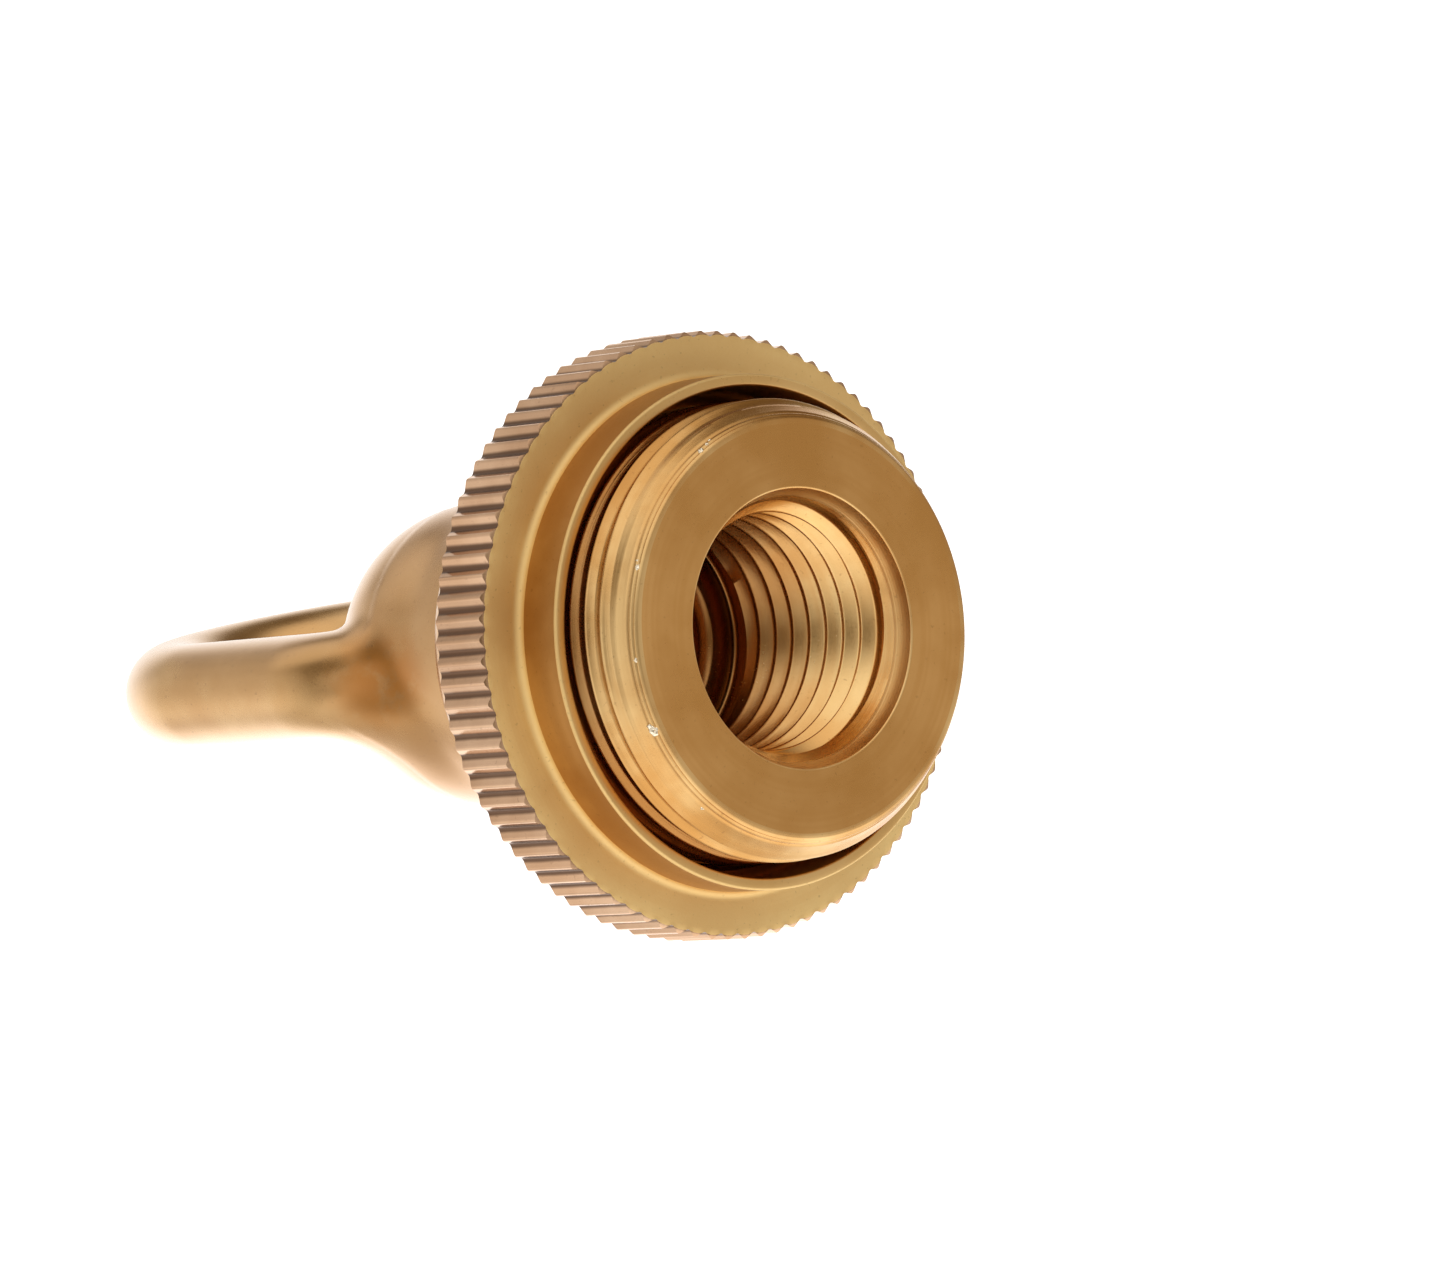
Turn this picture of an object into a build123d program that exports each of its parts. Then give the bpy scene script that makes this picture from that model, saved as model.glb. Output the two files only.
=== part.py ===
from build123d import *
import math
import os

# Screw-collar loop with its knurled seating ring, the hook-up hardware of a hanging light.
# Millimetres. +Z is the screw axis and points out of the collar's mouth, the loop hangs towards -Z,
# the loop's plane is XZ, and the origin is the centre of the collar's flat front face.

# Collar of the loop body
COLLAR_OD = 24.0            # over the thread crests
COLLAR_PITCH = 25.4 / 20    # 20 threads per inch
COLLAR_THREAD_DEPTH = 0.50  # worn, truncated thread
COLLAR_THREAD_END_Z = -15.2
FACE_D = 21.66              # flat turned face, inside the front bevel
FRONT_BEVEL_DROP = 0.90     # axial height of the front bevel down to the thread roots

# Bore of the loop body, cut for a 1/4 IP nipple
MOUTH_D = 14.44             # smooth counterbore at the mouth
MOUTH_DEPTH = 0.85
NIPPLE_PITCH = 25.4 / 18    # 18 threads per inch
NIPPLE_MAJOR_D = 13.40      # thread roots of the bore
NIPPLE_MINOR_D = 12.40      # thread crests of the bore
NIPPLE_THREAD_END_Z = -12.4
RELIEF_D = 13.90            # run-out groove under the thread
BORE_FLOOR_Z = -14.2
WIREWAY_D = 9.6             # hole through the neck, from the bore into the loop's eye
WIREWAY_BREAK = 0.5         # bevel where the wireway leaves the bore's floor
WIREWAY_EXIT_BREAK = 0.25   # bevel where it breaks out of the ball

# Shoulder, neck and ball of the casting
SHOULDER_D = 22.9
SHOULDER_Z = -17.6
SHOULDER_R = 2.2
NECK_D = 15.9
NECK_Z = -20.0
NECK_COVE_R = 3.0
BALL_R = 8.15
BALL_Z = -26.4

# Closed loop
WIRE_D = 5.6
LOOP_R = 8.2                # centreline radius of the round ends
LOOP_LOW_Z = -42.0          # centre of the lower round end
LOOP_HIGH_Z = -32.6         # centre of the upper round end, which is buried in the ball
LOOP_BLEND_R = 1.3          # casting fillet where the wire leaves the ball

# Knurled seating ring, at its resting height on the collar
RIM_Z = -3.49               # top of the boss
FLANGE_Z = -6.57            # front face of the flange
RING_BOTTOM_Z = -10.57
KNURL_OD = 31.75
KNURL_RIDGES = 90
KNURL_DEPTH = 0.31
KNURL_CREST_WIDTH = 0.20
KNURL_GROOVE_WIDTH = 0.24
KNURL_PHASE = 2.65          # angle of one crest from +X, degrees
KNURL_BEVEL = 0.22          # at both ends of the knurl
BOSS_OD = 26.80             # pilots in a 1-1/16 inch canopy hole
BOSS_ROOT_R = 0.30
RIM_BORE_D = 25.56          # counterbore inside the boss
RIM_BORE_FLOOR_Z = -6.9
RING_ROOT_D = 25.10         # thread roots of the ring
RING_CREST_D = 24.14        # thread crests of the ring, clear of the collar's crests


def lathe(points):
    """Solid of revolution about Z from (radius, z) corners."""
    outline = Polyline([(r, 0, z) for r, z in points], close=True)
    return revolve(make_face(outline), Axis.Z, 360)


def thread_ridge(radius, reach, pitch, z_low, z_high, base, crest):
    """Helical ridge of trapezoid section on the given radius, reaching outward, or inward when
    reach is negative. It starts a little behind the radius, so it crosses the wall cleanly."""
    sink = 0.2
    helix = Helix(pitch=pitch, height=z_high - z_low, radius=radius, center=(0, 0, z_low))
    seat = Plane(origin=(radius, 0, z_low), x_dir=(1, 0, 0), z_dir=(0, -1, 0))
    half_root = base / 2 + sink * (base - crest) / 2 / abs(reach)
    root = -math.copysign(sink, reach)
    corners = [(root, -half_root), (reach, -crest / 2), (reach, crest / 2), (root, half_root)]
    section = make_face(Polyline([seat.from_local_coords(c) for c in corners], close=True))
    return sweep(section, path=helix, is_frenet=True)


def casting_blank():
    """Collar core, shoulder, neck and ball, without the bore."""
    core_r = COLLAR_OD / 2 - COLLAR_THREAD_DEPTH
    neck_r = NECK_D / 2
    join_z = BALL_Z + math.sqrt(BALL_R**2 - neck_r**2)
    with BuildSketch(Plane.XZ) as profile:
        with BuildLine():
            Polyline([
                (0, BALL_Z - BALL_R),
                (0, 0),
                (FACE_D / 2, 0),
                (core_r, -FRONT_BEVEL_DROP),
                (core_r, COLLAR_THREAD_END_Z),
                (SHOULDER_D / 2, COLLAR_THREAD_END_Z),
                (SHOULDER_D / 2, SHOULDER_Z),
                (neck_r, NECK_Z),
                (neck_r, join_z),
            ])
            ThreePointArc((neck_r, join_z), (BALL_R, BALL_Z), (0, BALL_Z - BALL_R))
        make_face()
        corner = profile.vertices().sort_by_distance((SHOULDER_D / 2, SHOULDER_Z))[0]
        fillet(corner, SHOULDER_R)
        hollow = profile.vertices().sort_by_distance((neck_r, NECK_Z))[0]
        fillet(hollow, NECK_COVE_R)
    return revolve(profile.sketch, Axis.Z, 360)


def loop_wire():
    """Closed loop: two round ends joined by straight sides."""
    low, high = LOOP_LOW_Z, LOOP_HIGH_Z
    path = Wire([
        Edge.make_line((LOOP_R, 0, high), (LOOP_R, 0, low)),
        Edge.make_three_point_arc((LOOP_R, 0, low), (0, 0, low - LOOP_R), (-LOOP_R, 0, low)),
        Edge.make_line((-LOOP_R, 0, low), (-LOOP_R, 0, high)),
        Edge.make_three_point_arc((-LOOP_R, 0, high), (0, 0, high + LOOP_R), (LOOP_R, 0, high)),
    ])
    start = Plane(origin=(LOOP_R, 0, high), z_dir=(0, 0, -1))
    return sweep(start * Circle(WIRE_D / 2), path=path)


def drilled_bore():
    """Blind hole at the thread's minor diameter, for the tap."""
    drill_r = NIPPLE_MINOR_D / 2
    return lathe([(0, 1), (drill_r, 1), (drill_r, BORE_FLOOR_Z), (0, BORE_FLOOR_Z)])


def body_cavity():
    """Counterbore, drilled bore, run-out relief and wireway."""
    drill_r, relief_r, way_r = NIPPLE_MINOR_D / 2, RELIEF_D / 2, WIREWAY_D / 2
    mouth_r = MOUTH_D / 2
    groove_z = NIPPLE_THREAD_END_Z
    exit_r = way_r + WIREWAY_EXIT_BREAK
    exit_z = BALL_Z - math.sqrt(BALL_R**2 - exit_r**2)
    return lathe([
        (0, 1),
        (mouth_r + 1.2, 1),
        (mouth_r, -0.2),
        (mouth_r, -MOUTH_DEPTH),
        (drill_r, -MOUTH_DEPTH - (mouth_r - drill_r)),
        (drill_r, groove_z),
        (relief_r, groove_z - 0.6),
        (relief_r, BORE_FLOOR_Z),
        (way_r + WIREWAY_BREAK, BORE_FLOOR_Z),
        (way_r, BORE_FLOOR_Z - WIREWAY_BREAK),
        (way_r, exit_z + WIREWAY_EXIT_BREAK),
        (exit_r, exit_z),
        (exit_r, BALL_Z - BALL_R - 0.5),
        (0, BALL_Z - BALL_R - 0.5),
    ])


def nipple_groove():
    """Helical groove that the tap cuts outward from the drilled bore. The counterbore and the
    run-out relief, cut after it, trim its ends."""
    minor_r, depth = NIPPLE_MINOR_D / 2, (NIPPLE_MAJOR_D - NIPPLE_MINOR_D) / 2
    return thread_ridge(
        minor_r, depth, NIPPLE_PITCH, NIPPLE_THREAD_END_Z - 0.5, -0.6, 0.76, 0.18
    )


def collar_thread():
    """External ridge of the collar, trimmed to the rolled front edge."""
    core_r = COLLAR_OD / 2 - COLLAR_THREAD_DEPTH
    ridge = thread_ridge(
        core_r, COLLAR_THREAD_DEPTH, COLLAR_PITCH, COLLAR_THREAD_END_Z + 0.9, -0.6, 1.06, 0.40
    )
    slope = FRONT_BEVEL_DROP / (core_r - FACE_D / 2)
    crest_r = COLLAR_OD / 2 + 0.01
    keep = lathe([
        (core_r - 1, -FRONT_BEVEL_DROP + slope),
        (crest_r, -FRONT_BEVEL_DROP - slope * (crest_r - core_r)),
        (crest_r, COLLAR_THREAD_END_Z),
        (core_r - 1, COLLAR_THREAD_END_Z),
    ])
    return ridge & keep


def make_loop_body():
    body = casting_blank() + loop_wire()
    meeting = body.edges().filter_by(lambda e: is_loop_root(e))
    body = fillet(meeting, LOOP_BLEND_R)
    body = body - drilled_bore()
    body = body - nipple_groove()
    body = body - body_cavity()
    return body + collar_thread()


def is_loop_root(edge):
    """True for an edge where the wire meets the ball or the neck."""
    spots = [edge @ t for t in (0.1, 0.37, 0.5, 0.63, 0.9)]
    on_body = all(math.hypot(p.X, p.Y) < BALL_R + 0.05 for p in spots)
    off_plane = max(abs(p.Y) for p in spots) > 0.2
    low = all(p.Z < NECK_Z - 0.5 for p in spots)
    near_wire = all(wire_gap(p) < 0.02 for p in spots)
    return on_body and off_plane and low and near_wire


def wire_gap(p):
    """Distance of a point from the surface of the loop's wire."""
    z = min(max(p.Z, LOOP_LOW_Z), LOOP_HIGH_Z)
    if LOOP_LOW_Z < p.Z < LOOP_HIGH_Z:
        off = math.hypot(abs(p.X) - LOOP_R, p.Y)
    else:
        off = math.hypot(math.hypot(p.X, p.Z - z) - LOOP_R, p.Y)
    return abs(off - WIRE_D / 2)


def knurled_disc():
    """Flange blank with straight ridges round its edge."""
    crest_r = KNURL_OD / 2
    groove_r = crest_r - KNURL_DEPTH
    half_crest = math.degrees(KNURL_CREST_WIDTH / 2 / crest_r)
    half_groove = math.degrees(KNURL_GROOVE_WIDTH / 2 / groove_r)
    step = 360 / KNURL_RIDGES
    corners = []
    for i in range(KNURL_RIDGES):
        middle = KNURL_PHASE + i * step
        corners += [
            (crest_r, middle - half_crest),
            (crest_r, middle + half_crest),
            (groove_r, middle + step / 2 - half_groove),
            (groove_r, middle + step / 2 + half_groove),
        ]
    flat = [(r * math.cos(math.radians(a)), r * math.sin(math.radians(a))) for r, a in corners]
    outline = Polyline([(x, y, RING_BOTTOM_Z) for x, y in flat], close=True)
    disc = extrude(make_face(outline), FLANGE_Z - RING_BOTTOM_Z, dir=(0, 0, 1))
    bevelled = lathe([
        (0, RING_BOTTOM_Z),
        (crest_r - 1.6 * KNURL_BEVEL, RING_BOTTOM_Z),
        (crest_r + 0.01, RING_BOTTOM_Z + KNURL_BEVEL),
        (crest_r + 0.01, FLANGE_Z - KNURL_BEVEL / 2),
        (crest_r - KNURL_BEVEL, FLANGE_Z),
        (0, FLANGE_Z),
    ])
    return disc & bevelled


def boss():
    """Raised boss on the flange, with a small root fillet and broken rim edges."""
    boss_r, rim_r = BOSS_OD / 2, RIM_BORE_D / 2
    with BuildSketch(Plane.XZ) as profile:
        with BuildLine():
            Polyline([
                (rim_r - 1.5, FLANGE_Z - 1),
                (rim_r - 1.5, RIM_Z),
                (boss_r, RIM_Z),
                (boss_r, FLANGE_Z + BOSS_ROOT_R),
            ])
            turn = BOSS_ROOT_R * (1 - math.sqrt(0.5))
            ThreePointArc(
                (boss_r, FLANGE_Z + BOSS_ROOT_R),
                (boss_r + turn, FLANGE_Z + turn),
                (boss_r + BOSS_ROOT_R, FLANGE_Z),
            )
            Polyline([
                (boss_r + BOSS_ROOT_R, FLANGE_Z),
                (boss_r + BOSS_ROOT_R, FLANGE_Z - 1),
                (rim_r - 1.5, FLANGE_Z - 1),
            ])
        make_face()
        rim = profile.vertices().sort_by_distance((boss_r, RIM_Z))[0]
        fillet(rim, 0.12)
    return revolve(profile.sketch, Axis.Z, 360)


def ring_cavity():
    """Counterbore of the boss and thread roots of the flange."""
    rim_r, root_r = RIM_BORE_D / 2, RING_ROOT_D / 2
    return lathe([
        (0, RIM_Z + 1),
        (rim_r + 0.12, RIM_Z + 1),
        (rim_r + 0.12, RIM_Z),
        (rim_r, RIM_Z - 0.12),
        (rim_r, RIM_BORE_FLOOR_Z),
        (root_r, RIM_BORE_FLOOR_Z - (rim_r - root_r)),
        (root_r, RING_BOTTOM_Z + 0.25),
        (root_r + 0.35, RING_BOTTOM_Z - 0.1),
        (root_r + 0.35, RING_BOTTOM_Z - 1),
        (0, RING_BOTTOM_Z - 1),
    ])


def ring_thread():
    """Internal ridge of the ring, trimmed flush inside the flange."""
    root_r, crest_r = RING_ROOT_D / 2, RING_CREST_D / 2
    top = RIM_BORE_FLOOR_Z - (RIM_BORE_D - RING_ROOT_D) / 2
    ridge = thread_ridge(
        root_r, crest_r - root_r, COLLAR_PITCH, RING_BOTTOM_Z - 0.2, top + 0.2, 1.08, 0.30
    )
    keep = lathe([
        (crest_r - 0.3, RING_BOTTOM_Z + 0.6),
        (root_r + 0.6, RING_BOTTOM_Z + 0.05),
        (root_r + 0.6, top - 0.05),
        (crest_r - 0.3, top - 0.5),
    ])
    return ridge & keep


def make_ring():
    ring = knurled_disc() + boss()
    ring = ring - ring_cavity()
    return ring + ring_thread()


os.makedirs("parts", exist_ok=True)
for name, piece in (("loop_body", make_loop_body()), ("knurled_ring", make_ring())):
    solids = piece.solids()
    print(name, len(solids), "solid", piece.is_valid, round(piece.volume, 1), piece.bounding_box())
    export_step(piece, f"parts/{name}.step")
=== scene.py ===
import math

import bmesh
import bpy
import numpy as np
from mathutils import Matrix, Vector


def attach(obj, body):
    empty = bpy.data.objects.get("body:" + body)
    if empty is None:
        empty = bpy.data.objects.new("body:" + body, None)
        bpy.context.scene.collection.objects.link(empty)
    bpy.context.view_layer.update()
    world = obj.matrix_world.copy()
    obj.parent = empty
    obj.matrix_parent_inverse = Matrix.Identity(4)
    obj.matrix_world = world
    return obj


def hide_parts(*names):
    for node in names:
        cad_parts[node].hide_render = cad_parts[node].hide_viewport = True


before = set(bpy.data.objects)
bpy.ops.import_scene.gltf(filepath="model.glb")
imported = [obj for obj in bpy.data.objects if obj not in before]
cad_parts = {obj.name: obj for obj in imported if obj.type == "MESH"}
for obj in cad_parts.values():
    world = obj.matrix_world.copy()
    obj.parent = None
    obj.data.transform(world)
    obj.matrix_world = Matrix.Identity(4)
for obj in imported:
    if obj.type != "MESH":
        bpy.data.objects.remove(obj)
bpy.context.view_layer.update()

MM = 0.001
TAU = 2 * math.pi

# Dimensions of the model, in millimetres. Z is the screw axis and the collar's face is at zero.
COLLAR_R, CORE_R, COLLAR_PITCH, COLLAR_END = 12.0, 11.5, 25.4 / 20, -15.2
FACE_R, BEVEL_DROP = 10.83, 0.90
MOUTH_R, MOUTH_DEPTH = 7.22, 0.85
NIPPLE_PITCH, NIPPLE_MAJOR, NIPPLE_MINOR, NIPPLE_END = 25.4 / 18, 6.82, 6.14, -12.4
RELIEF_R, FLOOR_Z, WAY_R = 6.95, -14.2, 4.8
SHOULDER_R, SHOULDER_Z, SHOULDER_ROUND = 11.45, -16.8, 2.2
NECK_R, NECK_Z, NECK_COVE, CUT_Z = 7.95, -19.2, 3.0, -21.5
BALL_R, BALL_Z = 8.15, -26.4
WIRE_R, LOOP_R, LOOP_LOW, LOOP_HIGH = 2.8, 8.2, -42.0, -32.6
RIM_Z, FLANGE_Z, RING_BOTTOM = -3.49, -6.57, -10.57
KNURL_R, RIDGES, KNURL_DEPTH, KNURL_PHASE, KNURL_BEVEL = 15.875, 90, 0.31, 2.65, 0.22
BOSS_R, BOSS_ROOT, RIM_BORE, RIM_FLOOR = 13.40, 0.40, 12.78, -6.9
RING_ROOT, RING_CREST = 12.55, 11.72

# Meshes: edges sharper than this, in degrees, stay sharp, points this near are one, and the columns
# round the body.
SHARP_ANGLE, WELD, BODY_COLUMNS = 38, 0.0015, 360

# Bore: ends of its thread, the cone at the mouth, and the run-out into the relief at the floor.
THREAD_TOP, THREAD_LOW = -MOUTH_DEPTH - 0.15, NIPPLE_END - 0.58
MOUTH_LAND, MOUTH_CONE, MOUTH_ROUND, RELIEF_RUN = 0.32, 0.58, 0.10, 0.6
MOUTH_TOP = (MOUTH_R - 0.03, -0.24)
FLOOR_FLAT_R, FLOOR_CORNER, WAY_MIDDLE = RELIEF_R - 0.35, 0.3, -18.0
FACE_INNER, FACE_OUTER, FACE_ROWS = MOUTH_R + 0.2, FACE_R - 0.25, 6
# Collar thread: where it ends, and the plain length and the fading length above the shoulder.
COLLAR_LOW, RUNOUT_PLAIN, RUNOUT_FADE = COLLAR_END + 0.3, 0.4, 0.6
# Ring: rows on its flat and straight stretches, its small edges, and the thread inside it.
BACK_ROWS, FLANGE_ROWS = (14.0, 15.2), (15.3, 14.6, BOSS_R + BOSS_ROOT + 0.1)
BOSS_WALL, RIM_WALL = (FLANGE_Z + 0.8, RIM_Z - 0.16), (RIM_Z - 1.2, RIM_FLOOR + 0.1)
BOSS_EDGE, RIM_EDGE, BOX_GAP = 0.12, 0.11, 0.003
FRONT_SLOPE, BACK_BEVEL, KNURL_LOW, KNURL_HIGH = 0.5, 1.6, 1.4, 1.3
RING_THREAD_TOP, RING_THREAD_LOW = RIM_FLOOR - (RIM_BORE - RING_ROOT), RING_BOTTOM + 0.3
RING_RUNOUT, RING_PHASE = 0.35, 0.48
# Small outlines, as steps in radius and z from one corner of the part.
FLOOR_CHAMFER = [(0.0, -0.55), (0.06, -0.44), (0.46, -0.05), (0.58, 0.0)]
MOUTH_LIP = [(-0.30, -0.11), (-0.25, 0.02), (-0.20, 0.08)]
ROLLED_EDGE = [
    (-0.06, -0.004), (0.05, -0.035), (0.13, -0.11), (0.14, -0.19), (0.23, -0.23), (0.28, -0.30),
    (0.29, -0.40), (0.39, -0.45), (0.44, -0.54),
]
COLLAR_START, COLLAR_HEEL = [(-0.02, 0.03)], [(0.0, 0.2), (-0.02, 0.0)]
RING_BACK, RING_FRONT = [(0.38, 0.003), (0.45, 0.0)], [(0.02, 0.26), (0.30, 0.04)]

# Fillets of the casting: neck to ball, then ball to loop, which grows wider towards +Y. The
# wireway's end is below the ball, inside the loop's eye, and its edges are slightly rounded.
NECK_BLEND = 0.5
LOOP_BLEND, LOOP_BLEND_RISE, BLEND_START, BLEND_SPAN = 0.9, 2.1, -0.5, 3.0
WAY_END, WAY_EDGE = -37.0, 0.35
# Grid that the lower casting is cut from. Its top is open at CAST_TOP, to be joined to the turned
# rows, and the points above FIXED_Z keep their height.
VOXEL, GRID_X, GRID_Y = 0.295, 12.0, 9.0
CAST_TOP = CUT_Z - 0.1
FIXED_Z = CAST_TOP - 2.5 * VOXEL
SMOOTH_ROUNDS, SMOOTH_SHARE, SURFACE_PULLS, LEAST_SLOPE = 6, 0.5, 2, 0.05

# One pitch of each thread, from the mouth down: share of the pitch, height from root (0) to crest (1).
NIPPLE_CUTS = [0.0, 0.025, 0.05, 0.08, 0.32, 0.40, 0.50, 0.60, 0.68, 0.92, 0.95, 0.975]
NIPPLE_HEIGHTS = [1.0, 0.98, 0.93, 0.85, 0.16, 0.04, 0.0, 0.04, 0.16, 0.85, 0.93, 0.98]
COLLAR_CUTS = [0.0, 0.04, 0.07, 0.11, 0.28, 0.34, 0.52, 0.68, 0.75, 0.89, 0.93, 0.965]
COLLAR_HEIGHTS = [1.0, 0.96, 0.88, 0.77, 0.32, 0.23, 0.18, 0.22, 0.30, 0.80, 0.91, 0.98]
NIPPLE_DATUM, COLLAR_DATUM = -0.618, -1.60
# Half of one knurl ridge, from its crest: share of the ridge's pitch, height.
KNURL_CUTS = [0.0, 0.05, 0.09, 0.13, 0.37, 0.42, 0.50]
KNURL_HEIGHTS = [1.0, 0.985, 0.93, 0.82, 0.17, 0.05, 0.0]


# ---------------------------------------------------------------- meshes

def smooth_step(x):
    """Eased step from 0 to 1."""
    x = np.clip(x, 0.0, 1.0)
    return x * x * (3 - 2 * x)


def smooth_min(a, b, k):
    """Smaller of two distances, rounded where they are within k of each other."""
    h = np.maximum(k - np.abs(a - b), 0.0) / k
    return np.minimum(a, b) - h * h * k * 0.25


class Shell:
    """Rows of (radius, z) round the axis, joined in order, each with a material index.
    The rows of a thread follow its helix, so across the seam they meet a row one turn up."""

    def __init__(self, theta):
        self.theta = np.asarray(theta, float)
        self.r, self.z, self.mats, self.seam = [], [], [], []

    def rows(self, corners, mat):
        """Plain rows at (radius, z), each either a number or one value per column."""
        for r, z in corners:
            self.r.append(np.broadcast_to(r, self.theta.shape))
            self.z.append(np.broadcast_to(z, self.theta.shape))
            self.seam.append(len(self.mats))
            self.mats.append(mat)

    def thread(self, z_start, z_end, pitch, datum, cuts, heights, radius, mat):
        """Rows along a helix from z_start to z_end; radius(height, z) gives the surface.
        datum is the height of one crest at angle zero."""
        top, low = max(z_start, z_end), min(z_start, z_end)
        per_turn = len(cuts)
        first = math.floor((datum - top) / pitch) - 1
        last = math.ceil((datum - low) / pitch) + 2
        drop = (np.arange(first, last)[:, None] + np.asarray(cuts)[None, :]).ravel() * pitch
        z = np.clip(datum - drop[:, None] + pitch * self.theta[None, :] / TAU, low, top)
        turn = (datum - z) / pitch + self.theta[None, :] / TAU
        height = np.interp(turn % 1.0, list(cuts) + [1.0], list(heights) + [heights[0]])
        r = radius(height, z)
        order = range(len(drop)) if z_start > z_end else range(len(drop) - 1, -1, -1)
        place = {}
        for row in order:
            place[row] = len(self.mats)
            self.r.append(r[row])
            self.z.append(z[row])
            self.seam.append(None)
            self.mats.append(mat)
        for row, at in place.items():
            self.seam[at] = place[max(row - per_turn, 0)]

    def build(self, closed=False):
        """Points, quads and their material indices; closed joins the last row to the first."""
        r, z = np.vstack(self.r), np.vstack(self.z)
        points = np.stack([r * np.cos(self.theta), r * np.sin(self.theta), z], axis=-1)
        rows, cols = r.shape
        faces, mats = [], []
        for i in range(rows if closed else rows - 1):
            k = (i + 1) % rows
            a, b = i * cols + np.arange(cols), k * cols + np.arange(cols)
            a_next, b_next = np.roll(a, -1), np.roll(b, -1)
            a_next[-1], b_next[-1] = self.seam[i] * cols, self.seam[k] * cols
            faces += np.stack([a, a_next, b_next, b], axis=1).tolist()
            mats += [self.mats[k]] * cols
        return points.reshape(-1, 3), faces, mats


def arc(centre, radius, start, end, steps):
    """Corners along an arc in the (r, z) half plane, angles in degrees."""
    turn = np.radians(np.linspace(start, end, steps))
    return [(centre[0] + radius * math.cos(t), centre[1] + radius * math.sin(t)) for t in turn]


def steps(r, z, outline):
    """Corners at small steps from (r, z)."""
    return [(r + dr, z + dz) for dr, dz in outline]


def surface_net(values, origin, step):
    """Quads on the zero level of a grid of signed distances."""
    shape = np.array(values.shape) - 1
    total = np.zeros((*shape, 3))
    count = np.zeros(tuple(shape))
    crossings = []
    for axis in range(3):
        near = [slice(None)] * 3
        far = [slice(None)] * 3
        near[axis], far[axis] = slice(0, -1), slice(1, None)
        v0, v1 = values[tuple(near)], values[tuple(far)]
        cross = (v0 < 0) != (v1 < 0)
        t = np.where(cross, v0 / np.where(v0 == v1, 1, v0 - v1), 0)
        crossings.append((cross, v0 < 0))
        others = [a for a in range(3) if a != axis]
        for da in (0, 1):
            for db in (0, 1):
                cut = [slice(None)] * 3
                for o, d in zip(others, (da, db)):
                    cut[o] = slice(d, shape[o] + d)
                hit = cross[tuple(cut)]
                total[..., axis] += np.where(hit, t[tuple(cut)], 0)
                total[..., others[0]] += hit * da
                total[..., others[1]] += hit * db
                count += hit
    used = count > 0
    index = -np.ones(used.shape, int)
    index[used] = np.arange(used.sum())
    cell = np.argwhere(used)
    points = origin + step * (cell + total[used] / count[used][:, None])
    quads = []
    for axis, (cross, start_in) in enumerate(crossings):
        b, c = (axis + 1) % 3, (axis + 2) % 3
        at = np.argwhere(cross)
        at = at[(at[:, b] > 0) & (at[:, c] > 0) & (at[:, b] < shape[b]) & (at[:, c] < shape[c])]
        corners = []
        for db, dc in ((-1, -1), (0, -1), (0, 0), (-1, 0)):
            q = at.copy()
            q[:, b] += db
            q[:, c] += dc
            corners.append(index[tuple(q.T)])
        quad = np.stack(corners, axis=1)
        flip = ~start_in[tuple(at.T)]
        quad[flip] = quad[flip][:, ::-1]
        quads.append(quad)
    return points, np.vstack(quads)


def casting_distance(p):
    """Signed distance, in mm, of the lower casting: neck, ball and loop, less the wireway."""
    x, y, z = p[..., 0], p[..., 1], p[..., 2]
    rho = np.hypot(x, y)
    ball = np.sqrt(rho**2 + (z - BALL_Z) ** 2) - BALL_R
    neck = np.maximum(rho - NECK_R, BALL_Z - z)
    dome = smooth_min(ball, neck, NECK_BLEND)
    middle = np.clip(z, LOOP_LOW, LOOP_HIGH)
    wire = np.hypot(np.hypot(x, z - middle) - LOOP_R, y) - WIRE_R
    blend = LOOP_BLEND + LOOP_BLEND_RISE * smooth_step((y - BLEND_START) / BLEND_SPAN)
    solid = smooth_min(dome, wire, blend)
    hole = np.minimum(WAY_R - rho, z - WAY_END)
    return -smooth_min(-solid, -hole, WAY_EDGE)


def quad_edges(quads):
    return np.vstack([quads[:, [i, (i + 1) % 4]] for i in range(4)])


def lower_casting():
    """Neck, ball and loop below the cut, evened out and pulled back on to the surface."""
    low = np.array([-GRID_X, -GRID_Y, LOOP_LOW - LOOP_R - WIRE_R - 2 * VOXEL])
    high = np.array([GRID_X, GRID_Y, CUT_Z + 3 * VOXEL])
    size = np.ceil((high - low) / VOXEL).astype(int) + 1
    axes = [low[i] + VOXEL * np.arange(size[i]) for i in range(3)]
    grid = np.stack(np.meshgrid(*axes, indexing="ij"), axis=-1)
    points, quads = surface_net(casting_distance(grid), low, VOXEL)
    quads = quads[(points[quads][:, :, 2] < CAST_TOP).all(axis=1)]
    free = points[:, 2] < FIXED_Z
    edges = quad_edges(quads)
    for _ in range(SMOOTH_ROUNDS):
        near = np.zeros_like(points)
        count = np.zeros(len(points))
        for a, b in ((0, 1), (1, 0)):
            np.add.at(near, edges[:, a], points[edges[:, b]])
            np.add.at(count, edges[:, a], 1)
        inner = free & (count > 0)
        points[inner] += SMOOTH_SHARE * (near[inner] / count[inner][:, None] - points[inner])
        for _ in range(SURFACE_PULLS):
            points -= normal_step(points)
    return points, quads


def normal_step(points, reach=0.01):
    """Move that brings each point on to the surface, level near the open top."""
    value = casting_distance(points)
    slope = np.stack([
        casting_distance(points + reach * e) - casting_distance(points - reach * e)
        for e in np.eye(3)
    ], axis=-1) / (2 * reach)
    square = np.maximum((slope**2).sum(axis=-1), LEAST_SLOPE)
    step = value[:, None] * slope / square[:, None]
    step[points[:, 2] > FIXED_Z, 2] = 0
    return step


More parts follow.
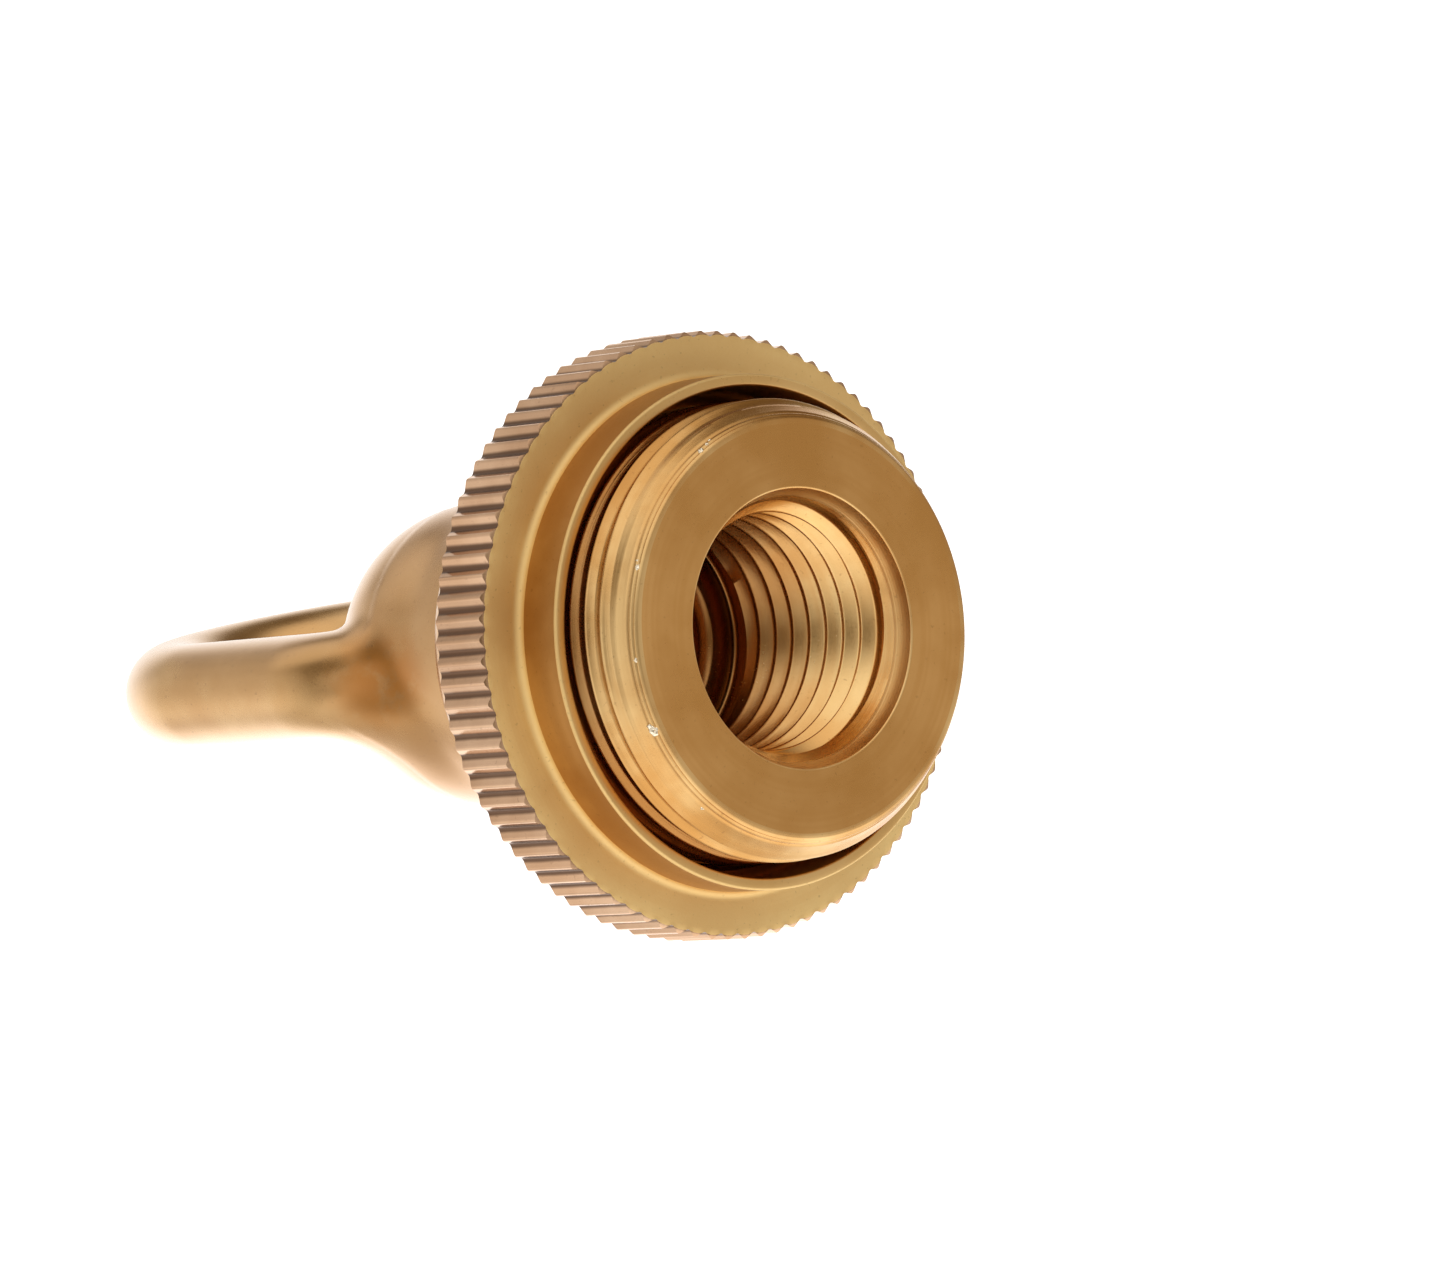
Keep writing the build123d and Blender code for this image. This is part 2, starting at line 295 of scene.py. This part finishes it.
def zip_rings(angle_a, index_a, angle_b, index_b):
    """Triangles between two closed rings of points, each with its angles round the axis."""
    order_a, order_b = np.argsort(angle_a), np.argsort(angle_b)
    a, b = np.asarray(index_a)[order_a], np.asarray(index_b)[order_b]
    ta, tb = np.asarray(angle_a)[order_a], np.asarray(angle_b)[order_b]
    ta, tb = np.append(ta, ta[0] + TAU), np.append(tb, tb[0] + TAU)
    i = j = 0
    tris = []
    while i < len(a) or j < len(b):
        if j == len(b) or (i < len(a) and ta[i + 1] <= tb[j + 1]):
            tris.append([a[i], a[(i + 1) % len(a)], b[j % len(b)]])
            i += 1
        else:
            tris.append([a[i % len(a)], b[(j + 1) % len(b)], b[j]])
            j += 1
    return tris


def link_object(name, data):
    obj = bpy.data.objects.new(name, data)
    bpy.context.collection.objects.link(obj)
    return obj


def shade_smooth(mesh):
    mesh.polygons.foreach_set("use_smooth", np.ones(len(mesh.polygons), bool))


def make_object(name, points, faces, mats, materials):
    """Object from points in mm, with doubled points welded and sharp edges marked."""
    mesh = bpy.data.meshes.new(name)
    mesh.from_pydata((points * MM).tolist(), [], faces)
    for m in materials:
        mesh.materials.append(m)
    mesh.polygons.foreach_set("material_index", np.asarray(mats, np.int32))
    bm = bmesh.new()
    bm.from_mesh(mesh)
    bmesh.ops.remove_doubles(bm, verts=bm.verts, dist=WELD * MM)
    loose = [v for v in bm.verts if not v.link_faces]
    bmesh.ops.delete(bm, geom=loose, context="VERTS")
    bmesh.ops.recalc_face_normals(bm, faces=bm.faces)
    open_edges = sum(1 for e in bm.edges if len(e.link_faces) != 2)
    bm.to_mesh(mesh)
    bm.free()
    print(name, len(mesh.polygons), "faces,", open_edges, "open edges")
    shade_smooth(mesh)
    mesh.set_sharp_from_angle(angle=math.radians(SHARP_ANGLE))
    return link_object(name, mesh)


CAST, TURNED, COLLAR, BORE, MOUTH = range(5)


def bore_radius(height, z):
    """Tapped bore: grooves cut outward from the minor radius, opened by the cones at its ends."""
    radial_shade = NIPPLE_MINOR + (NIPPLE_MAJOR - NIPPLE_MINOR) * (1 - height)
    mouth = MOUTH_R - MOUTH_LAND - (THREAD_TOP - z) * MOUTH_CONE
    relief = NIPPLE_MINOR + (NIPPLE_END - z) * (RELIEF_R - NIPPLE_MINOR) / RELIEF_RUN
    return np.minimum(np.maximum(np.maximum(radial_shade, mouth), relief), RELIEF_R)


def collar_radius(height, z):
    """Collar thread, trimmed by the rolled front edge and run out before the shoulder."""
    slope = (CORE_R - FACE_R) / BEVEL_DROP
    bevel = CORE_R + slope * (-BEVEL_DROP - z)
    fade = smooth_step((z - COLLAR_END - RUNOUT_PLAIN) / RUNOUT_FADE)
    return np.minimum(CORE_R + (COLLAR_R - CORE_R) * height * fade, bevel)


def bore_rows(shell):
    """Wireway, the bore's floor with its chamfer and rounded corner, the relief and the thread."""
    shell.rows([(WAY_R, CUT_Z), (WAY_R, WAY_MIDDLE)], BORE)
    shell.rows(steps(WAY_R, FLOOR_Z, FLOOR_CHAMFER), BORE)
    shell.rows([(FLOOR_FLAT_R, FLOOR_Z)], BORE)
    shell.rows(arc((RELIEF_R - FLOOR_CORNER, FLOOR_Z + FLOOR_CORNER), FLOOR_CORNER, -80, 0, 4), BORE)
    shell.rows([(RELIEF_R, NIPPLE_END - RELIEF_RUN)], BORE)
    shell.thread(
        THREAD_LOW, THREAD_TOP, NIPPLE_PITCH, NIPPLE_DATUM, NIPPLE_CUTS, NIPPLE_HEIGHTS,
        bore_radius, BORE,
    )


def mouth_rows(shell):
    """Conical lip of the bore, its rounded edge and the collar's flat face."""
    shell.rows(steps(MOUTH_R, -MOUTH_DEPTH, MOUTH_LIP) + [MOUTH_TOP], MOUTH)
    shell.rows(arc((MOUTH_R + MOUTH_ROUND, -MOUTH_ROUND), MOUTH_ROUND, 180, 90, 5), MOUTH)
    shell.rows([(r, 0) for r in np.linspace(FACE_INNER, FACE_OUTER, FACE_ROWS)], TURNED)


def collar_rows(shell):
    """Rolled front edge with its two fine steps, then the outer thread."""
    shell.rows(steps(FACE_R, 0, ROLLED_EDGE), COLLAR)
    shell.rows(steps(CORE_R, -BEVEL_DROP, COLLAR_START), COLLAR)
    shell.thread(
        -BEVEL_DROP, COLLAR_LOW, COLLAR_PITCH, COLLAR_DATUM, COLLAR_CUTS, COLLAR_HEIGHTS,
        collar_radius, COLLAR,
    )
    shell.rows(steps(CORE_R, COLLAR_END, COLLAR_HEEL), COLLAR)


def shoulder_rows(shell):
    """Rounded shoulder, the cone under it and the cove that runs into the neck."""
    cone = math.degrees(math.atan2(SHOULDER_R - NECK_R, SHOULDER_Z - NECK_Z))
    tangent = math.tan(math.radians(cone) / 2)
    start_z = SHOULDER_Z + SHOULDER_ROUND * tangent
    cove_z = NECK_Z - NECK_COVE * tangent
    shell.rows([(SHOULDER_R, start_z + 0.15)], CAST)
    shell.rows(arc((SHOULDER_R - SHOULDER_ROUND, start_z), SHOULDER_ROUND, 0, -cone, 10), CAST)
    shell.rows(arc((NECK_R + NECK_COVE, cove_z), NECK_COVE, 180 - cone, 180, 10), CAST)
    shell.rows([(NECK_R, CUT_Z + (cove_z - CUT_Z) * 0.3), (NECK_R, CUT_Z)], CAST)


def open_rim(quads):
    """Points on the edges that only one quad uses."""
    key, count = np.unique(np.sort(quad_edges(quads), axis=1), axis=0, return_counts=True)
    return np.unique(key[count == 1])


def loop_body(materials):
    """Turned rows from the wireway out to the neck, zipped to the lower casting inside and out."""
    theta = np.arange(BODY_COLUMNS) * TAU / BODY_COLUMNS
    shell = Shell(theta)
    for add_rows in (bore_rows, mouth_rows, collar_rows, shoulder_rows):
        add_rows(shell)
    points, faces, mats = shell.build()

    low_points, quads = lower_casting()
    offset = len(points)
    faces += (quads + offset).tolist()
    mats += [CAST] * len(quads)
    rim = open_rim(quads)
    radius = np.hypot(low_points[rim, 0], low_points[rim, 1])
    for wanted, row, mat in ((NECK_R, len(shell.mats) - 1, CAST), (WAY_R, 0, BORE)):
        mine = rim[np.abs(radius - wanted) < 1.0]
        angle = np.arctan2(low_points[mine, 1], low_points[mine, 0]) % TAU
        tris = zip_rings(theta, row * BODY_COLUMNS + np.arange(BODY_COLUMNS), angle, mine + offset)
        faces += [[int(i) for i in t] for t in tris]
        mats += [mat] * len(tris)
    return make_object("loop_casting", np.vstack([points, low_points]), faces, mats, materials)


FLANGE, KNURL, INNER, BOSS = range(4)


def ring_radius(height, z):
    """Thread inside the ring, faded out at its back and opened by a cone under the rim."""
    cone = RING_ROOT + (z - RING_THREAD_TOP)
    fade = smooth_step((z - RING_BOTTOM - RING_RUNOUT) / RING_RUNOUT)
    return np.maximum(RING_ROOT + (RING_CREST - RING_ROOT) * height * fade, cone)


def knurl_columns():
    """Angle and outer radius of the columns round the ring. Some crests are a little low."""
    half = list(zip(KNURL_CUTS, KNURL_HEIGHTS))
    ridge = half + [(1 - u, h) for u, h in half[1:-1]][::-1]
    share = np.array([[(i + u) / RIDGES, h] for i in range(RIDGES) for u, h in ridge])
    height = share[:, 1]
    number = np.repeat(np.arange(RIDGES), len(ridge))
    low = 0.02 * np.sin(number * 2.7) + 0.015 * np.sin(number * 1.13 + 1)
    outer = KNURL_R - BOX_GAP - KNURL_DEPTH * (1 - height) - np.maximum(low, 0) * height
    return share[:, 0] * TAU + math.radians(KNURL_PHASE), outer


def knurled_ring(materials):
    """Closed outline of the ring: back, knurled edge, flange, boss, rim and inner thread."""
    theta, outer = knurl_columns()
    face_r = np.minimum(outer, KNURL_R - KNURL_BEVEL)
    face_z = FLANGE_Z - np.maximum(outer - (KNURL_R - KNURL_BEVEL), 0) * FRONT_SLOPE
    back_r = np.minimum(outer, KNURL_R - BACK_BEVEL * KNURL_BEVEL)
    back_z = RING_BOTTOM + np.maximum(outer - back_r, 0) / BACK_BEVEL
    edge_z = (back_z, RING_BOTTOM + KNURL_LOW, face_z - KNURL_HIGH, face_z)
    shell = Shell(theta)
    shell.rows(steps(RING_ROOT, RING_BOTTOM, RING_BACK), FLANGE)
    shell.rows([(r, RING_BOTTOM) for r in (*BACK_ROWS, back_r)], FLANGE)
    shell.rows([(outer, z) for z in edge_z] + [(face_r, FLANGE_Z)], KNURL)
    shell.rows([(r, FLANGE_Z) for r in FLANGE_ROWS], FLANGE)
    shell.rows(arc((BOSS_R + BOSS_ROOT, FLANGE_Z + BOSS_ROOT), BOSS_ROOT, 270, 180, 6), FLANGE)
    shell.rows([(BOSS_R, z) for z in BOSS_WALL], BOSS)
    shell.rows(arc((BOSS_R - BOSS_EDGE, RIM_Z - BOSS_EDGE), BOSS_EDGE, 0, 90, 5), FLANGE)
    shell.rows(arc((RIM_BORE + RIM_EDGE, RIM_Z - RIM_EDGE), RIM_EDGE, 90, 180, 5), INNER)
    shell.rows([(RIM_BORE, z) for z in RIM_WALL] + [(RIM_BORE - 0.02, RIM_FLOOR)], INNER)
    shell.thread(
        RING_THREAD_TOP, RING_THREAD_LOW, COLLAR_PITCH, COLLAR_DATUM + COLLAR_PITCH * RING_PHASE,
        COLLAR_CUTS, COLLAR_HEIGHTS, ring_radius, INNER,
    )
    shell.rows(steps(RING_ROOT, RING_BOTTOM, RING_FRONT), INNER)
    points, faces, mats = shell.build(closed=True)
    return make_object("knurled_collar_ring", points, faces, mats, materials)


# Burrs on the rolled edge of the collar: angle from +X in degrees, radius, z, size in mm.
BURRS = [
    (17.9, 11.00, -0.40, 0.34), (16.4, 11.10, -0.38, 0.20), (-1.9, 10.98, -0.22, 0.13),
    (-26.9, 10.98, -0.24, 0.17), (-28.6, 11.03, -0.32, 0.12), (-66.0, 10.99, -0.22, 0.17),
    (-68.8, 11.02, -0.30, 0.13), (-70.5, 11.08, -0.36, 0.10), (44.0, 11.25, -0.62, 0.12),
]
BURR_OUT, BURR_UP = 0.75, 0.8  # how far a burr reaches out and up, as a share of its size


def burr_lump(d, number):
    """Uneven reach of a burr in the direction d; each number gives another shape."""
    folds = 0.28 * math.sin(4 * d.x + 2.1 * number) * math.sin(5 * d.y + number)
    return 1 + folds + 0.14 * math.sin(9 * d.z + 7 * d.x + number)


def burrs(material):
    """Small torn chips that the tool left on the collar's front edge."""
    mesh = bpy.data.meshes.new("edge_burrs")
    bm = bmesh.new()
    for i, (angle, radius, z, size) in enumerate(BURRS):
        made = bmesh.ops.create_icosphere(bm, subdivisions=3, radius=1.0)["verts"]
        out = Vector((math.cos(math.radians(angle)), math.sin(math.radians(angle)), 0))
        along = Vector((-out.y, out.x, 0))
        for v in made:
            d = v.co.normalized()
            lump = burr_lump(d, i)
            spot = out * (radius + BURR_OUT * size * lump * d.x) + along * (size * lump * d.y)
            v.co = (spot + Vector((0, 0, z + BURR_UP * size * lump * d.z))) * MM
    bm.to_mesh(mesh)
    bm.free()
    mesh.materials.append(material)
    shade_smooth(mesh)
    return link_object("edge_burrs", mesh)


# ---------------------------------------------------------------- materials

class Nodes:
    """Short-hand for building a node tree. A value is a number, a colour or another socket."""

    def __init__(self, tree):
        self.tree = tree
        tree.nodes.clear()

    def add(self, kind, **values):
        """New node; each value sets one of its properties or, by name, an input."""
        node = self.tree.nodes.new(kind)
        for key, value in values.items():
            if hasattr(node, key):
                setattr(node, key, value)
            else:
                node.inputs[key.replace("_", " ")].default_value = value
        return node

    def link(self, a, b):
        self.tree.links.new(a, b)

    def feed(self, socket, value):
        if isinstance(value, bpy.types.NodeSocket):
            self.link(value, socket)
        else:
            socket.default_value = value

    def math(self, operation, *values):
        node = self.add("ShaderNodeMath", operation=operation)
        for socket, value in zip(node.inputs, values):
            self.feed(socket, value)
        return node.outputs[0]

    def plus(self, a, b):
        return self.math("ADD", a, b)

    def minus(self, a, b):
        return self.math("SUBTRACT", a, b)

    def times(self, a, b):
        return self.math("MULTIPLY", a, b)

    def length(self, *parts):
        """Square root of the sum of the squares."""
        total = self.times(parts[0], parts[0])
        for part in parts[1:]:
            total = self.plus(total, self.times(part, part))
        return self.math("SQRT", total)

    def ramp(self, value, low, high, out_low=0.0, out_high=1.0):
        """Smooth change from out_low to out_high as value goes from low to high."""
        node = self.add("ShaderNodeMapRange", interpolation_type="SMOOTHSTEP")
        for socket, v in zip(node.inputs, (value, low, high, out_low, out_high)):
            self.feed(socket, v)
        return node.outputs[0]

    def noise(self, where, scale, detail, rough):
        node = self.add("ShaderNodeTexNoise", Scale=scale, Detail=detail, Roughness=rough)
        self.link(where, node.inputs["Vector"])
        return node.outputs["Fac"]

    def mix(self, fac, a, b):
        node = self.add("ShaderNodeMix", data_type="RGBA")
        self.feed(node.inputs[0], fac)
        self.feed(node.inputs[6], a)
        self.feed(node.inputs[7], b)
        return node.outputs[2]


def rgb(r, g, b):
    """Linear colour from 0-255 display values."""
    def linear(c):
        c /= 255
        return c / 12.92 if c <= 0.04045 else ((c + 0.055) / 1.055) ** 2.4
    return (linear(r), linear(g), linear(b), 1.0)


GOLD, GOLD_DEEP = rgb(220, 170, 104), rgb(204, 150, 82)
PALE, PALE_DEEP = rgb(240, 204, 142), rgb(226, 184, 118)
SAND, SAND_DEEP = rgb(248, 222, 160), rgb(236, 202, 138)
TAN, TAN_DEEP = rgb(220, 180, 122), rgb(200, 154, 92)
ROSE, ROSE_DEEP = rgb(224, 188, 154), rgb(200, 160, 124)
HONEY, HONEY_DEEP = rgb(204, 158, 98), rgb(178, 130, 74)
# Painted shade: brown for the collar by the ring and the deep bore, umber for the knurl's roots.
SHADE_BROWN, GROOVE_SHADE, RUST = rgb(166, 110, 56), rgb(84, 54, 32), rgb(110, 72, 38)
# The first is the darker brown of the casting from the ball's middle up to the shoulder.
UPPER_CAST_BROWN, AMBER, CHIP = rgb(176, 122, 66), rgb(190, 124, 44), rgb(252, 240, 214)

# Noise scales, in waves per metre: tarnish clouds, pores, lathe marks, bands of them, stain edge.
CLOUD_SCALE, PORE_SCALE, MARK_SCALE, BAND_SCALE, PATCH_SCALE = 130.0, 3800.0, 9000.0, 1400.0, 700.0
FINE_GRAIN, BLAST_GRAIN, FACE_GRAIN = 5200.0, 5600.0, 6000.0
BUMP_DISTANCE, COAT_ROUGHNESS = 0.00001, 0.22
# Stain at the root of the loop's arms: |x| and z of its middle, how far from there it is full and
# how far it reaches, all in mm, and the share of a distance along z that counts.
STAIN_X, STAIN_Z, STAIN_FULL, STAIN_GONE, STAIN_STRETCH = 8.0, -25.8, 0.8, 3.4, 0.7


def turned_marks(n, radius, z, tint, height, deep, strength):
    """Lathe marks round the axis: fine grooves in the bump and wider bands in the tint."""
    rings = n.add("ShaderNodeCombineXYZ")
    n.link(radius, rings.inputs[0])
    n.link(z, rings.inputs[2])
    mark = n.noise(rings.outputs[0], MARK_SCALE, 3.0, 0.7)
    band = n.noise(rings.outputs[0], BAND_SCALE, 2.0, 0.5)
    height = n.plus(height, n.times(n.plus(mark, band), strength))
    return n.mix(n.ramp(band, 0.42, 0.62, 0.0, 0.35), tint, deep), height


def darken(n, tint, cloud, value, start, full, shade, amount):
    """Shade over tint, none where value is start and amount where it is full, edged by cloud."""
    start, full = start * MM, full * MM
    low, high = sorted((start, full))
    ends = (amount, 0.0) if full < start else (0.0, amount)
    uneven = n.plus(value, n.times(n.minus(cloud, 0.5), abs(start - full)))
    return n.mix(n.ramp(uneven, low, high, *ends), tint, shade)


def tarnish(n, where, axes, tint, rough, strength):
    """Orange-brown stain at the root of the loop's arms."""
    x, y, z = axes
    side = n.minus(n.math("ABSOLUTE", x), STAIN_X * MM)
    drop = n.times(n.plus(z, -STAIN_Z * MM), STAIN_STRETCH)
    near = n.ramp(n.length(y, drop, side), STAIN_FULL * MM, STAIN_GONE * MM, 1.0, 0.0)
    patch = n.noise(where, PATCH_SCALE, 4.0, 0.6)
    spread = n.times(near, n.ramp(patch, 0.30, 0.55, 0.35, 1.0))
    return n.mix(n.times(spread, strength), tint, AMBER), n.plus(rough, n.times(spread, 0.12))


def brass(name, colour, deep, roughness, grain, grain_scale=FINE_GRAIN, turned=0.0, stain=0.0,
          anisotropy=0.0, coat=0.0, depth=None, radial_shade=None):
    """Satin brass, cloudy between colour and deep. grain is the blasted texture's bump, turned the
    strength of the lathe marks and stain that of the tarnish at the root of the loop. depth is (z
    where the darkening starts, z where it is full, shade, amount): painted shade on the collar
    thread by the ring and deep in the bore, and a browner casting towards the neck; the darkening by
    radius takes the same with radii and paints shade in the knurl's groove roots; both are in mm."""
    mat = bpy.data.materials.new(name)
    mat.use_nodes = True
    n = Nodes(mat.node_tree)
    out = n.add("ShaderNodeOutputMaterial")
    shader = n.add("ShaderNodeBsdfPrincipled", Metallic=1.0, Anisotropic=anisotropy,
                   Coat_Weight=coat, Coat_Roughness=COAT_ROUGHNESS)
    n.link(shader.outputs[0], out.inputs[0])
    where = n.add("ShaderNodeTexCoord").outputs["Object"]
    split = n.add("ShaderNodeSeparateXYZ")
    n.link(where, split.inputs[0])
    x, y, z = split.outputs
    radius = n.length(x, y)

    cloud = n.noise(where, CLOUD_SCALE, 4.0, 0.55)
    pores = n.noise(where, PORE_SCALE, 2.0, 0.6)
    grit = n.noise(where, grain_scale, 2.0, 0.65)
    tint = n.mix(n.ramp(cloud, 0.35, 0.68), deep, colour)
    tint = n.mix(n.ramp(pores, 0.27, 0.36, 0.22, 0.0), tint, RUST)
    worn = n.ramp(cloud, 0.3, 0.7, roughness - 0.05, roughness + 0.05)
    rough = n.plus(worn, n.times(n.minus(grit, 0.5), 0.12))
    height = n.times(grit, grain)
    if turned:
        tint, height = turned_marks(n, radius, z, tint, height, deep, turned)
    if depth:
        tint = darken(n, tint, cloud, z, *depth)
    if radial_shade:
        tint = darken(n, tint, cloud, radius, *radial_shade)
    if stain:
        tint, rough = tarnish(n, where, (x, y, z), tint, rough, stain)
    n.link(tint, shader.inputs["Base Color"])
    n.link(rough, shader.inputs["Roughness"])
    bump = n.add("ShaderNodeBump", Strength=1.0, Distance=BUMP_DISTANCE)
    n.link(height, bump.inputs["Height"])
    n.link(bump.outputs[0], shader.inputs["Normal"])
    if anisotropy:
        tangent = n.add("ShaderNodeTangent", direction_type="RADIAL", axis="Z")
        n.link(tangent.outputs[0], shader.inputs["Tangent"])
    return mat


# ---------------------------------------------------------------- camera, light and floor

# The camera's axes and place, in the frame's metres.
RIGHT = Vector((-0.76217, 0.17196, 0.62412))
UP = Vector((-0.18069, -0.98227, 0.04998))
TOWARD = -Vector((-0.62164, 0.07468, -0.77973))
EYE, LENS, SENSOR, CLIP = (0.2811, -0.0337, 0.34589), 216.42, 36.0, (0.01, 20.0)
FLOOR_HALF, FLOOR_DEPTH = 6.0, -0.30

# The room is dim and warm, and each light adds white to it: its direction on the camera's right,
# up and toward axes, the cosines where it starts and where it is full, and its strength.
ROOM, LIGHT_TINT = (0.21, 0.165, 0.11), (1.0, 1.0, 1.02)
LIGHTS = [
    (0.0, -1.0, -0.15, -0.1, 0.85, 0.62),    # from below the frame
    (-0.05, -0.75, 0.65, 0.60, 0.95, 0.55),  # from below and in front
    (0.72, -0.66, -0.05, 0.76, 0.97, 0.58),  # from the lower right
    (1.0, 0.0, 0.1, 0.5, 0.95, 0.35),        # from the right
    (0.0, 0.83, 0.55, 0.60, 0.95, 0.95),     # above and in front
    (-0.1, -0.1, -1.0, 0.50, 0.92, 1.05),    # white background
    (-1.0, -0.1, -0.25, 0.74, 0.97, 0.60),   # from the left
    (-0.65, 0.75, -0.2, 0.86, 0.99, 0.75),   # from the upper left
    (-0.6, 0.05, 0.8, 0.86, 0.97, 0.60),     # in front, to the left
]


def make_camera():
    """Long lens, looking down at the collar's face from the side, with the loop to the left."""
    cam = bpy.data.cameras.new("camera")
    cam.lens = LENS
    cam.sensor_width = SENSOR
    cam.clip_start, cam.clip_end = CLIP
    obj = link_object("camera", cam)
    obj.matrix_world = Matrix.Translation(EYE) @ Matrix((RIGHT, UP, TOWARD)).transposed().to_4x4()
    bpy.context.scene.camera = obj


def make_world():
    """Soft studio for the part's reflections; the camera itself sees plain white."""
    world = bpy.data.worlds.new("studio")
    bpy.context.scene.world = world
    world.use_nodes = True
    n = Nodes(world.node_tree)
    out = n.add("ShaderNodeOutputWorld")
    room = n.add("ShaderNodeBackground")
    white = n.add("ShaderNodeBackground", Color=(1, 1, 1, 1), Strength=1.0)
    blend = n.add("ShaderNodeMixShader")
    n.link(n.add("ShaderNodeLightPath").outputs["Is Camera Ray"], blend.inputs[0])
    n.link(room.outputs[0], blend.inputs[1])
    n.link(white.outputs[0], blend.inputs[2])
    n.link(blend.outputs[0], out.inputs[0])
    way = n.add("ShaderNodeTexCoord").outputs["Generated"]
    total = 0.0
    for right, up, toward, start, full, strength in LIGHTS:
        aim = (right * RIGHT + up * UP + toward * TOWARD).normalized()
        dot = n.add("ShaderNodeVectorMath", operation="DOT_PRODUCT")
        n.link(way, dot.inputs[0])
        dot.inputs[1].default_value = aim
        total = n.plus(total, n.ramp(dot.outputs["Value"], start, full, 0.0, strength))
    light = n.add("ShaderNodeCombineXYZ")
    for socket, dim, bright in zip(light.inputs, ROOM, LIGHT_TINT):
        n.link(n.math("MULTIPLY_ADD", total, bright, dim), socket)
    n.link(light.outputs[0], room.inputs["Color"])


def make_floor():
    """White floor for the camera: it isn't reflected in the part, lights nothing and casts no shadow."""
    half, z = FLOOR_HALF, FLOOR_DEPTH
    corners = [(-half, -half, z), (half, -half, z), (half, half, z), (-half, half, z)]
    mesh = bpy.data.meshes.new("floor")
    mesh.from_pydata(corners, [], [(0, 1, 2, 3)])
    floor = link_object("floor", mesh)
    mat = bpy.data.materials.new("floor_white")
    mat.use_nodes = True
    n = Nodes(mat.node_tree)
    out = n.add("ShaderNodeOutputMaterial")
    shader = n.add("ShaderNodeBsdfPrincipled", Base_Color=(0.8, 0.8, 0.8, 1), Roughness=0.9,
                   Emission_Color=(1, 1, 1, 1), Emission_Strength=0.75)
    n.link(shader.outputs[0], out.inputs[0])
    mesh.materials.append(mat)
    floor.visible_glossy = floor.visible_diffuse = floor.visible_shadow = False


# ---------------------------------------------------------------- scene

cast = brass(
    "cast_brass", TAN, TAN_DEEP, roughness=0.27, grain=0.28, stain=0.95, coat=0.9,
    # The casting turns darker and browner upwards from z -30.5, fully from -25 up to the shoulder.
    depth=(-30.5, -25.0, UPPER_CAST_BROWN, 0.38),
)
turned = brass(
    "turned_face", GOLD, GOLD_DEEP, roughness=0.30, grain=0.2, grain_scale=FACE_GRAIN, turned=0.5,
    anisotropy=0.5, coat=0.05,
)
threads = brass(
    "collar_thread", PALE, GOLD_DEEP, roughness=0.28, grain=0.25, turned=1.2, coat=0.1,
    # Painted shade: the thread darkens brown from z -2.5 to -4.0, where it runs under the ring's rim.
    depth=(-2.5, -4.0, SHADE_BROWN, 0.65),
)
inner = brass("ring_thread", PALE, PALE_DEEP, roughness=0.34, grain=0.25, turned=0.4)
bore = brass(
    "bore_thread", PALE, GOLD, roughness=0.20, grain=0.15, turned=0.25,
    # Painted shade: the bore darkens brown from z -3 to -13, the deeper inside the darker.
    depth=(-3.0, -13.0, SHADE_BROWN, 0.85),
)
mouth = brass("bore_mouth", PALE, GOLD, roughness=0.36, grain=0.3, turned=0.8)
flange = brass(
    "blasted_flange", SAND, SAND_DEEP, roughness=0.60, grain=0.5, grain_scale=BLAST_GRAIN,
    turned=0.1, coat=0.05,
)
boss = brass(
    "boss_wall", HONEY, HONEY_DEEP, roughness=0.38, grain=0.4, grain_scale=BLAST_GRAIN, turned=0.1,
)
knurl = brass(
    "knurled_edge", ROSE, ROSE_DEEP, roughness=0.20, grain=0.25, coat=0.2,
    # Painted shade: the roots of the knurl's grooves, radius 15.70 down to 15.58, darken to umber.
    radial_shade=(15.70, 15.58, GROOVE_SHADE, 0.9),
)
chip = brass("torn_chip", CHIP, CHIP, roughness=0.25, grain=0.25, coat=0.6)

body = loop_body([cast, turned, threads, bore, mouth])
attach(body, "body")
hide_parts("loop_body")
chips = burrs(chip)
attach(chips, "body")
ring = knurled_ring([flange, knurl, inner, boss])
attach(ring, "ring")
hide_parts("knurled_ring")

make_camera()
make_floor()
make_world()
bpy.context.scene.view_settings.view_transform = "Standard"
bpy.context.scene.view_settings.look = "None"
